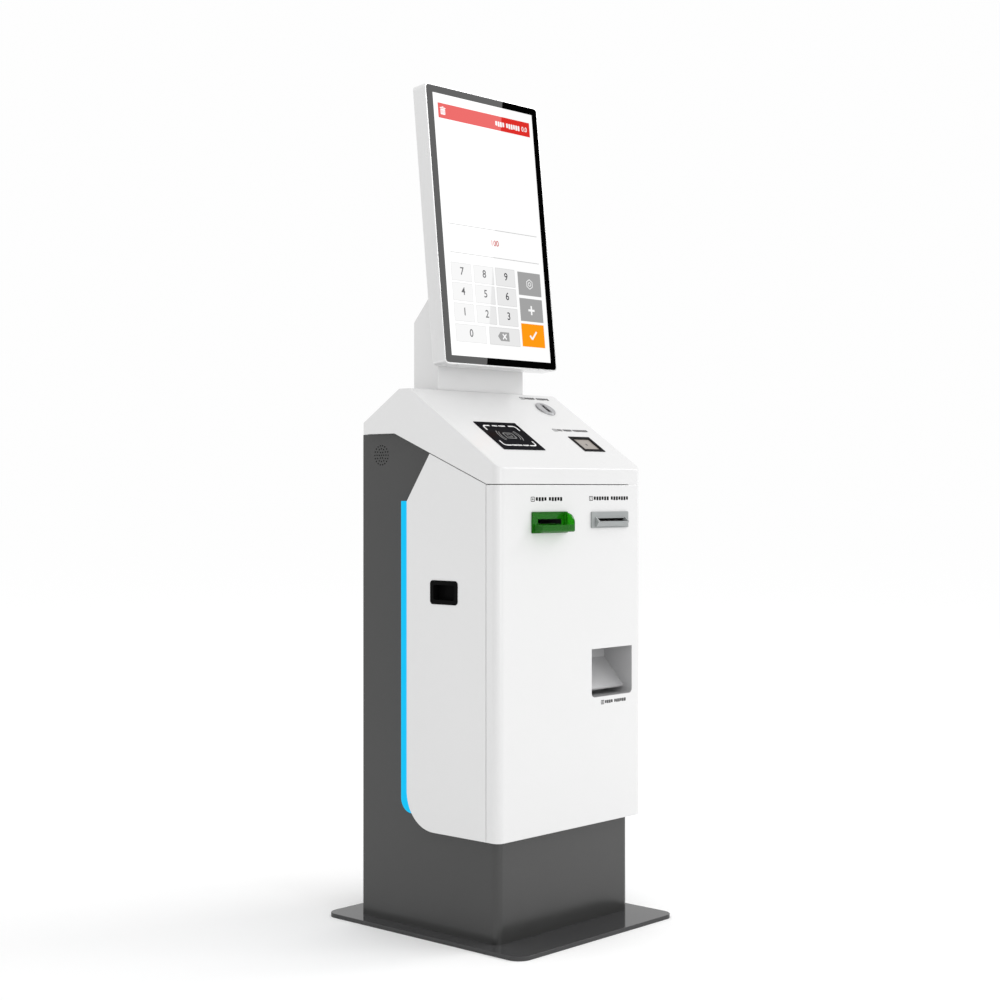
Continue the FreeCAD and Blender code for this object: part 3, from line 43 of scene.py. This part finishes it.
def make_camera():
    """The photograph's viewpoint: level, off the left front corner, with a slight shift."""
    data = bpy.data.cameras.new("camera")
    data.lens, data.sensor_width = 63.215, 36
    data.shift_y = -0.01097
    data.clip_start, data.clip_end = 0.05, 200
    camera = bpy.data.objects.new("camera", data)
    camera.location = (-2.62698, -2.40011, 0.86554)
    camera.rotation_euler = (math.radians(90), 0, math.radians(-47.58))
    bpy.context.scene.collection.objects.link(camera)
    bpy.context.scene.camera = camera


# ---------------------------------------------------------------- materials

class Shader:
    """A Principled material with its nodes added by name."""

    def __init__(self, name, **sockets):
        self.material = bpy.data.materials.new(name)
        self.material.use_nodes = True
        self.tree = self.material.node_tree
        self.bsdf = self.tree.nodes["Principled BSDF"]
        for socket, value in sockets.items():
            socket = socket.replace("_", " ")
            if isinstance(value, tuple) and len(value) == 3:
                value = (*value, 1)
            self.bsdf.inputs[socket].default_value = value

    def node(self, kind, inputs=None, **settings):
        node = self.tree.nodes.new(kind)
        for key, value in settings.items():
            setattr(node, key, value)
        for key, value in (inputs or {}).items():
            self.put(node, key, value)
        return node

    def put(self, node, key, value):
        socket = node.inputs[key]
        if isinstance(value, bpy.types.NodeSocket):
            self.tree.links.new(value, socket)
        else:
            socket.default_value = value

    def place(self):
        return self.node("ShaderNodeTexCoord").outputs["Object"]

    def noise(self, scale, detail=3, vector=None):
        return self.node("ShaderNodeTexNoise", {"Scale": scale, "Detail": detail,
                                                "Vector": vector or self.place()}).outputs["Fac"]

    def spread(self, value, low, high):
        """A 0 to 1 value mapped between two numbers."""
        return self.node("ShaderNodeMapRange", {"Value": value, "From Min": 0.3, "From Max": 0.7,
                                                "To Min": low, "To Max": high}).outputs["Result"]

    def tint(self, value, dark, light):
        mix = self.node("ShaderNodeMix", data_type="RGBA")
        self.put(mix, 0, value)
        self.put(mix, 6, (*dark, 1))
        self.put(mix, 7, (*light, 1))
        return mix.outputs[2]

    def bump(self, height, strength, distance=0.001):
        bump = self.node("ShaderNodeBump", {"Height": height, "Strength": strength,
                                            "Distance": distance})
        self.put(self.bsdf, "Normal", bump.outputs["Normal"])

    def dust(self, colour, spread=0.04, scale=6):
        """Slight variation of one colour over the surface."""
        dark = tuple(c * (1 - spread) for c in colour)
        light = tuple(min(1, c * (1 + spread)) for c in colour)
        self.put(self.bsdf, "Base Color", self.tint(self.noise(scale), dark, light))
        return self

    def vary_roughness(self, low, high, scale=40):
        self.put(self.bsdf, "Roughness", self.spread(self.noise(scale), low, high))
        return self


def powder_coat(name, colour, low, high, spread=0.02):
    """Powder coat: fine orange peel, a satin sheen that varies a little."""
    made = Shader(name).dust(colour, spread, 3).vary_roughness(low, high, 25)
    made.bump(made.noise(900, 2), 0.06, 0.0004)
    return made.material


def brushed(name, colour, stretch, low, high):
    """Metal with fine lines drawn out along the axes where stretch is small."""
    made = Shader(name, Metallic=1.0)
    lines = made.node("ShaderNodeMapping", {"Vector": made.place(), "Scale": stretch})
    grain = made.noise(60, 4, lines.outputs["Vector"])
    dark = tuple(c * 0.85 for c in colour)
    made.put(made.bsdf, "Base Color", made.tint(grain, dark, colour))
    made.put(made.bsdf, "Roughness", made.spread(grain, low, high))
    made.bump(grain, 0.05, 0.0002)
    return made.material


def moulded(name, colour, low, high, grain=1400, depth=0.15, **more):
    made = Shader(name, **more).dust(colour, 0.08, 9).vary_roughness(low, high, 60)
    made.bump(made.noise(grain, 2), depth, 0.0003)
    return made.material


def glossy(name, colour, roughness=0.05, emission=None, strength=0.0, **more):
    made = Shader(name, Roughness=roughness, **more).dust(colour, 0.03, 12)
    made.put(made.bsdf, "Roughness", made.spread(made.noise(15), roughness * 0.8, roughness * 1.3))
    if emission:
        made.bsdf.inputs["Emission Color"].default_value = (*emission, 1)
        made.bsdf.inputs["Emission Strength"].default_value = strength
    return made.material


def circuit_board(name):
    made = Shader(name, Roughness=0.4)
    cells = made.node("ShaderNodeTexVoronoi", {"Vector": made.place(), "Scale": 160.0},
                      distance="CHEBYCHEV")
    step = made.node("ShaderNodeMath", {0: cells.outputs["Distance"], 1: 0.35},
                     operation="LESS_THAN")
    made.put(made.bsdf, "Base Color",
             made.tint(step.outputs[0], (0.008, 0.09, 0.02), (0.03, 0.17, 0.05)))
    made.bump(step.outputs[0], 0.2, 0.0003)
    return made.material


def paper(name):
    made = Shader(name, Roughness=0.75).dust((0.86, 0.86, 0.84), 0.02, 20)
    wound = made.node("ShaderNodeMapping", {"Vector": made.place(), "Scale": (2500, 6, 6)})
    made.bump(made.noise(1, 1, wound.outputs["Vector"]), 0.25, 0.0003)
    return made.material


def make_materials():
    zinc = brushed("zinc_sheet", (0.60, 0.61, 0.62), (0.4, 0.4, 6), 0.32, 0.5)
    made = {
        "powder_white": powder_coat("powder_white", (0.70, 0.70, 0.70), 0.20, 0.25),
        "powder_dark": powder_coat("powder_dark", (0.041, 0.041, 0.0405), 0.20, 0.25),
        "base_gloss": glossy("base_gloss", (0.060, 0.060, 0.061), 0.03, Specular_IOR_Level=0.12),
        "zinc_sheet": zinc,
        "zinc_fastener": brushed("zinc_fastener", (0.66, 0.66, 0.64), (1, 1, 1), 0.25, 0.4),
        "light_cyan": glossy("light_cyan", (0.001, 0.04, 0.07), 0.5, (0.0, 0.50, 0.86), 1.0,
                             Specular_IOR_Level=0.1),
        "board_green": circuit_board("board_green"),
        "black_plastic": moulded("black_plastic", (0.004, 0.004, 0.004), 0.4, 0.55, IOR=1.1),
        "glass_black": glossy("glass_black", (0.004, 0.004, 0.006), 0.12, IOR=1.04),
        "screen_glass": glossy("screen_glass", (0.001, 0.001, 0.001), 0.008),
        "screen_panel": moulded("screen_panel", (0.55, 0.55, 0.56), 0.3, 0.4),
        "monitor_silver": brushed("monitor_silver", (0.86, 0.86, 0.86), (1, 1, 0.15), 0.26, 0.36),
        "scan_glass": glossy("scan_glass", (0.31, 0.28, 0.255), 0.06, Specular_IOR_Level=0.2),
        "coin_steel": brushed("coin_steel", (0.46, 0.46, 0.47), (1, 1, 0.3), 0.16, 0.28),
        "hinge_steel": brushed("hinge_steel", (0.62, 0.62, 0.62), (1, 1, 0.3), 0.22, 0.34),
        "bill_green": glossy("bill_green", (0.03, 0.42, 0.012), 0.10, Transmission_Weight=0.75,
                             IOR=1.3),
        "validator_grey": moulded("validator_grey", (0.045, 0.047, 0.05), 0.4, 0.55),
        "printer_grey": moulded("printer_grey", (0.30, 0.315, 0.315), 0.3, 0.42),
        "tray_grey": powder_coat("tray_grey", (0.44, 0.44, 0.445), 0.3, 0.4, 0.03),
        "paper_white": paper("paper_white"),
        "roller_rubber": moulded("roller_rubber", (0.012, 0.012, 0.012), 0.6, 0.75, 700, 0.3),
        "module_aluminium": brushed("module_aluminium", (0.58, 0.59, 0.60), (4, 0.3, 4), 0.3, 0.45),
        "speaker_black": brushed("speaker_black", (0.06, 0.06, 0.06), (1, 1, 1), 0.4, 0.5),
    }
    for part in record["subparts"]:
        mesh = nodes[part["node"]].data
        mesh.materials.clear()
        mesh.materials.append(made[part["material_slot"]])


# ---------------------------------------------------------------- flat printed pieces

def grid_frame(origin, right, up):
    """The frame of a face: X right, Y up, Z out of it; millimetres in, metres out."""
    right, up = Vector(right).normalized(), Vector(up).normalized()
    out = right.cross(up)
    turn = Matrix((right, up, out)).transposed().to_4x4()
    return Matrix.Translation(Vector(origin) / 1000) @ turn @ Matrix.Scale(0.001, 4)


# The monitor's lean and the hood's slope, as the CAD has them.
TILT, SLOPE = math.radians(5.83), math.atan2(1062.5 - 905.4, 41.5 + 194)
SCREEN = grid_frame((0, -9, 1111.7), (1, 0, 0), (0, math.sin(TILT), math.cos(TILT)))
SCREEN = SCREEN @ Matrix.Translation((0, 17, 0))
FRONT = grid_frame((0, -194, 0), (1, 0, 0), (0, 0, 1))
INCLINE = grid_frame((0, -194, 905.4), (1, 0, 0), (0, math.cos(SLOPE), math.sin(SLOPE)))


def arc_points(x, y, radius, start, end, steps):
    angles = [math.radians(start + (end - start) * i / steps) for i in range(steps + 1)]
    return [(x + radius * math.cos(a), y + radius * math.sin(a)) for a in angles]


def rounded(x0, y0, x1, y1, radius=0.01, steps=5):
    """The loop of a rectangle with round corners."""
    loop = []
    for x, y, start in ((x1 - radius, y1 - radius, 0), (x0 + radius, y1 - radius, 90),
                        (x0 + radius, y0 + radius, 180), (x1 - radius, y0 + radius, 270)):
        loop += arc_points(x, y, radius, start, start + 90, steps)
    return [loop]


def outline(x0, y0, x1, y1, radius, width, steps=5):
    """A rectangular line with round corners, as a ring of four-sided faces."""
    outer = rounded(x0, y0, x1, y1, radius, steps)[0]
    inner = rounded(x0 + width, y0 + width, x1 - width, y1 - width,
                    max(radius - width, 0.01), steps)[0]
    return strip(outer + outer[:1], inner + inner[:1])


def strip(side_a, side_b):
    return [[a0, a1, b1, b0] for a0, a1, b0, b1
            in zip(side_a, side_a[1:], side_b, side_b[1:])]


def band(x, y, radius, width, start, end, steps=16):
    """A bent line of even width."""
    return strip(arc_points(x, y, radius, start, end, steps),
                 arc_points(x, y, radius - width, start, end, steps))


def disc(x, y, radius, steps=20):
    return [arc_points(x, y, radius, 0, 360 - 360 / steps, steps - 1)]


def segment(x0, y0, x1, y1, width):
    """A straight line of even width with square ends."""
    along = Vector((x1 - x0, y1 - y0)).normalized() * (width / 2)
    side = Vector((-along.y, along.x))
    return [[(x0 + side.x, y0 + side.y), (x0 - side.x, y0 - side.y),
             (x1 - side.x, y1 - side.y), (x1 + side.x, y1 + side.y)]]


def bars(x0, y0, x1, height, words):
    """Stands for a line of print: one bar for each letter, no real letters."""
    total = sum(words) + 0.6 * (len(words) - 1)
    unit, x, made = (x1 - x0) / total, x0, []
    for word in words:
        for i in range(word):
            low = 0.0 if i % 3 else height * 0.12
            made += rounded(x + i * unit, y0 + low, x + (i + 0.74) * unit, y0 + height,
                            unit * 0.12, 2)
        x += (word + 0.6) * unit
    return made


def printed(name, place, faces, material, body, low=0.0, thick=0.12):
    """A thin raised print on a face of the object."""
    bm = bmesh.new()
    for loop in faces:
        bm.faces.new([bm.verts.new((x, y, low)) for x, y in loop])
    bmesh.ops.remove_doubles(bm, verts=bm.verts[:], dist=0.001)
    made = bmesh.ops.extrude_face_region(bm, geom=bm.faces[:])
    lifted = [v for v in made["geom"] if isinstance(v, bmesh.types.BMVert)]
    bmesh.ops.translate(bm, verts=lifted, vec=(0, 0, thick))
    bmesh.ops.recalc_face_normals(bm, faces=bm.faces[:])
    bm.transform(place)
    mesh = bpy.data.meshes.new(name)
    bm.to_mesh(mesh)
    bm.free()
    return piece(name, mesh, material, body)


def piece(name, mesh, material, body):
    item = bpy.data.objects.new(name, mesh)
    bpy.context.scene.collection.objects.link(item)
    mesh.materials.clear()
    mesh.materials.append(material)
    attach(item, body)
    return item


def digits(name, place, marks, material, body, low=0.0, thick=0.1):
    """Numerals set in the built-in font, one mesh for all of them."""
    bm = bmesh.new()
    for text, x, y, height in marks:
        curve = bpy.data.curves.new(name, "FONT")
        curve.body, curve.size, curve.extrude = text, height / 0.70, thick / 2
        curve.align_x, curve.align_y = "CENTER", "CENTER"
        curve.resolution_u = 4
        curve.offset = height * 0.014
        holder = bpy.data.objects.new(name, curve)
        bpy.context.scene.collection.objects.link(holder)
        bpy.context.view_layer.update()
        mesh = bpy.data.meshes.new_from_object(holder)
        mesh.transform(Matrix.Translation((x, y, low + thick / 2)))
        bm.from_mesh(mesh)
        bpy.data.meshes.remove(mesh)
        bpy.data.objects.remove(holder)
        bpy.data.curves.remove(curve)
    bm.transform(place)
    mesh = bpy.data.meshes.new(name)
    bm.to_mesh(mesh)
    bm.free()
    return piece(name, mesh, material, body)


# ---------------------------------------------------------------- the screen's page

def lit(name, colour):
    """What the display shows: its own light under the gloss of the glass."""
    return glossy(name, (0.002, 0.002, 0.002), 0.01, colour, 1.0)


def make_page():
    red, grey, pale = (0.73, 0.027, 0.021), (0.37, 0.37, 0.37), (0.82, 0.82, 0.82)
    slot, body = "screen_panel", "cabinet"

    def show(name, faces, colour, low):
        printed(name, SCREEN, faces, lit(name, colour), body, low, 0.06)

    show("page_white", rounded(-148.25, 0, 148.25, 527), (1.0, 1.0, 1.0), 0.0)
    show("page_header", rounded(-136, 477.5, 138, 508), red, 0.05)
    white = rounded(-129, 485, -116, 496.5, 1) + rounded(-130.5, 497.5, -114.5, 499.5, 0.5)
    white += rounded(-125, 500, -120, 501.5, 0.5)
    white += bars(32, 486, 108, 10.5, [4, 6])
    show("page_header_marks", white, (0.96, 0.96, 0.96), 0.10)
    show("page_bin_ribs", [f for x in (-126, -122.5, -119) for f in segment(x, 487, x, 494.5, 1.0)],
         red, 0.15)
    digits("page_total", SCREEN, [("0.0", 121, 491.5, 10)], lit("page_total", (0.96, 0.96, 0.96)),
           body, 0.10, 0.06)
    lines = segment(-132, 265, 134, 265, 1.3) + segment(-131, 207.7, 135, 207.7, 1.3)
    show("page_lines", lines, (0.52, 0.52, 0.52), 0.05)
    digits("page_amount", SCREEN, [("100", 2, 237, 11.5)], lit("page_amount", (0.60, 0.05, 0.04)),
           body, 0.05, 0.06)
    columns, rows = (-132.7, -67.5, -2.7), (150.7, 110.4, 69.3)
    keys, edges, marks = [], [], []
    names = ("7", "8", "9", "4", "5", "6", "1", "2", "3")
    for i, text in enumerate(names):
        x, y = columns[i % 3], rows[i // 3]
        keys += rounded(x + 0.8, y + 0.8, x + 57.7, y + 36.0, 1.2)
        edges += rounded(x, y, x + 58.5, y + 36.8, 1.5)
        marks.append((text, x + 31, y + 19.5, 15.5))
    for x0, x1 in ((-132.2, -43.4), (-34, 57)):
        keys += rounded(x0 + 0.8, 28.9, x1 - 0.8, 63.4, 1.2)
        edges += rounded(x0, 28.1, x1, 64.2, 1.5)
    marks.append(("0", -87, 46.5, 15.5))
    show("page_key_edges", edges, (0.60, 0.60, 0.60), 0.05)
    show("page_keys", keys, pale, 0.10)
    digits("page_digits", SCREEN, marks, lit("page_digits", (0.05, 0.05, 0.055)), body,
           0.15, 0.06)
    show("page_erase", [[(-9, 46.3), (-1, 55.5), (25, 55.5), (25, 37), (-1, 37)]], grey, 0.15)
    show("page_erase_cross", segment(5.5, 41, 16.5, 51.5, 3) + segment(5.5, 51.5, 16.5, 41, 3),
         (0.96, 0.96, 0.96), 0.20)
    show("page_side_keys", rounded(64.8, 137.3, 135.2, 185.8) + rounded(64.8, 83, 135.2, 131),
         grey, 0.05)
    show("page_pay", rounded(64.4, 30, 134.7, 78), (1.0, 0.33, 0.006), 0.05)
    gear = band(100, 161.6, 10.8, 1.7, 30, 390, 6)
    gear += band(100, 161.6, 4.6, 1.6, 0, 360, 24)
    gear += segment(90.4, 106.8, 109.6, 106.8, 4.4) + segment(100, 97.2, 100, 104.6, 4.4)
    gear += segment(100, 109, 100, 116.4, 4.4)
    tick = segment(89.6, 53.6, 96.4, 46.2, 4.2) + segment(96, 46, 110.5, 62.4, 4.2)
    show("page_side_marks", gear + tick, (0.96, 0.96, 0.96), 0.10)


# ---------------------------------------------------------------- labels on the case

def label_marks(x0, y0, x1, height, words, icon):
    """A framed pictogram with a line of greeked print after it."""
    width = height * 1.5
    made = outline(x0, y0 - 0.8, x0 + width, y0 + height + 0.8, 1.6, 1.3, 3)
    middle = x0 + width / 2, y0 + height / 2
    if icon == "coin":
        made += band(*middle, height * 0.33, 1.2, 0, 360, 20)
    elif icon == "ticket":
        made += segment(middle[0] - 2.4, middle[1] + 1.2, middle[0] + 2.4, middle[1] + 1.2, 1.0)
        made += segment(middle[0] - 2.4, middle[1] - 1.6, middle[0] + 1.0, middle[1] - 1.6, 1.0)
    elif icon == "note":
        made += disc(*middle, height * 0.22) + disc(middle[0] - 3.6, middle[1], 0.7, 8)
        made += disc(middle[0] + 3.6, middle[1], 0.7, 8)
    else:
        for dx, dy in ((-2, -1.6), (-2, 1.6), (1.4, -1.6), (1.4, 1.6)):
            made += rounded(middle[0] + dx, middle[1] + dy - 0.9, middle[0] + dx + 1.9,
                            middle[1] + dy + 0.9, 0.1, 1)
    return made + bars(x0 + width + 3, y0, x1, height, words)


def make_labels():
    ink = glossy("label_ink", (0.004, 0.004, 0.004), 0.4, IOR=1.15)
    door = label_marks(-126, 842.4, -32, 7.6, [4, 5], "note")
    door += label_marks(48, 843.2, 173, 7.6, [6, 7], "ticket")
    door += label_marks(85, 438.2, 165, 6.6, [4, 6], "coin")
    printed("door_labels", FRONT, door, ink, "front_door")
    slope = label_marks(93, 264, 184, 8, [4, 5], "coin") + label_marks(78, 140, 188, 8, [2, 4, 7], "code")
    printed("slope_labels", INCLINE, slope, ink, "cabinet")


def make_reader_art():
    """Generic marks of a contactless reader: corner brackets, waves and a card."""
    white = glossy("reader_white", (0.85, 0.85, 0.85), 0.35)
    grey = glossy("reader_grey", (0.22, 0.22, 0.22), 0.35)
    cx, cy, w, h, thick = -81.5, 114, 49, 37, 3.4
    marks = []
    for sx, sy, start in ((1, 1, 0), (-1, 1, 90), (-1, -1, 180), (1, -1, 270)):
        r = 9
        x, y = cx + sx * (w - r), cy + sy * (h - r)
        marks += band(x, y, r, thick, start, start + 90, 8)
        marks += segment(x, y + sy * (r - thick / 2), x - sx * 13, y + sy * (r - thick / 2), thick)
        marks += segment(x + sx * (r - thick / 2), y, x + sx * (r - thick / 2), y - sy * 9, thick)
    marks += bars(cx - 19, cy + h - 4.2, cx + 19, 4.6, [3, 4])
    marks += bars(cx - 25, cy - h - 0.2, cx + 25, 4.6, [7, 4])
    printed("reader_brackets", INCLINE, marks, white, "cabinet", 1.5)
    waves = []
    for side in (0, 180):
        for r, width in ((31, 1.8), (25, 1.5)):
            waves += band(cx, cy, r, width, side - 34, side + 34)
    waves += outline(cx - 14, cy - 10, cx + 14, cy + 10, 3, 1.8)
    waves += outline(cx - 6, cy - 4.5, cx + 6, cy + 4.5, 1.5, 1.2)
    printed("reader_waves", INCLINE, waves, grey, "cabinet", 1.5)


def make_scan_target():
    dot = glossy("scan_dot", (0.03, 0.03, 0.03), 0.2)
    printed("scan_lens", INCLINE, disc(133, 92, 3), dot, "cabinet", -0.8, 0.1)


# ---------------------------------------------------------------- studio

def card(name, centre, right, up, width, height, colour):
    """A flat stage card, seen only in reflections."""
    right, up = Vector(right).normalized() * width / 2, Vector(up).normalized() * height / 2
    centre = Vector(centre)
    mesh = bpy.data.meshes.new(name)
    mesh.from_pydata([centre - right - up, centre + right - up, centre + right + up,
                      centre - right + up], [], [(0, 1, 2, 3)])
    mesh.materials.append(Shader(name, Base_Color=colour, Roughness=1.0,
                                 Specular_IOR_Level=0.0).material)
    item = bpy.data.objects.new(name, mesh)
    bpy.context.scene.collection.objects.link(item)
    item.visible_camera = item.visible_diffuse = item.visible_shadow = False
    item.visible_transmission = False


def softbox(name, centre, right, up, width, height, radiance):
    """A rectangular light; it shines along right x up, and the camera doesn't see it."""
    data = bpy.data.lights.new(name, "AREA")
    data.shape, data.size, data.size_y = "RECTANGLE", width, height
    data.energy = radiance * math.pi * width * height
    right, up = Vector(right).normalized(), Vector(up).normalized()
    turn = Matrix((-right, up, up.cross(right))).transposed()
    box = bpy.data.objects.new(name, data)
    box.matrix_world = Matrix.Translation(centre) @ turn.to_4x4()
    box.visible_camera = False
    bpy.context.scene.collection.objects.link(box)


FLOOR_WHITE = 0.99


def make_studio():
    """A white floor that runs into a white background, with three lights and two dark cards."""
    ground = bpy.data.meshes.new("floor")
    size = 90
    ground.from_pydata([(-size, -size, 0), (size, -size, 0), (size, size, 0), (-size, size, 0)],
                       [], [(0, 1, 2, 3)])
    floor = bpy.data.objects.new("floor", ground)
    bpy.context.scene.collection.objects.link(floor)
    ground.materials.append(Shader("floor", Base_Color=(FLOOR_WHITE,) * 3, Roughness=0.95,
                                   Specular_IOR_Level=0.0).material)

    world = bpy.data.worlds.new("studio")
    bpy.context.scene.world = world
    world.use_nodes = True
    tree = world.node_tree
    back = tree.nodes["Background"]
    back.inputs["Color"].default_value = (1, 1, 1, 1)
    seen = tree.nodes.new("ShaderNodeLightPath")
    level = tree.nodes.new("ShaderNodeMapRange")
    level.inputs["To Min"].default_value = 1.0
    level.inputs["To Max"].default_value = FLOOR_WHITE
    tree.links.new(seen.outputs["Is Camera Ray"], level.inputs["Value"])
    tree.links.new(level.outputs["Result"], back.inputs["Strength"])
    bpy.context.scene.view_settings.view_transform = "Standard"

    softbox("front_light", (-0.9, -4.2, 0.95), (-1, -0.2, 0), (0, 0, 1), 0.9, 1.7, 3.4)
    lean = (0.287, 0, 0.958)
    softbox("high_light", (3.15, -3.5, 3.27), (-0.958, 0, 0.287), lean, 2.0, 3.4, 2.3)
    softbox("crease_light", (3.8, -1.77, 3.62), (-0.42, -0.9, 0), (-0.49, 0.23, 0.84),
            1.6, 1.4, 6.0)
    card("high_card", (4.2, -3.7, 3.4), (1, 0, 0), lean, 4.4, 5.4, (0.0, 0.0, 0.0))
    card("left_card", (-3.0, 0.1, 1.0), (0, 1, 0), (0, 0, 1), 3.6, 2.6, (0.0, 0.0, 0.0))


make_camera()
make_materials()
make_page()
make_labels()
make_reader_art()
make_scan_target()
make_studio()
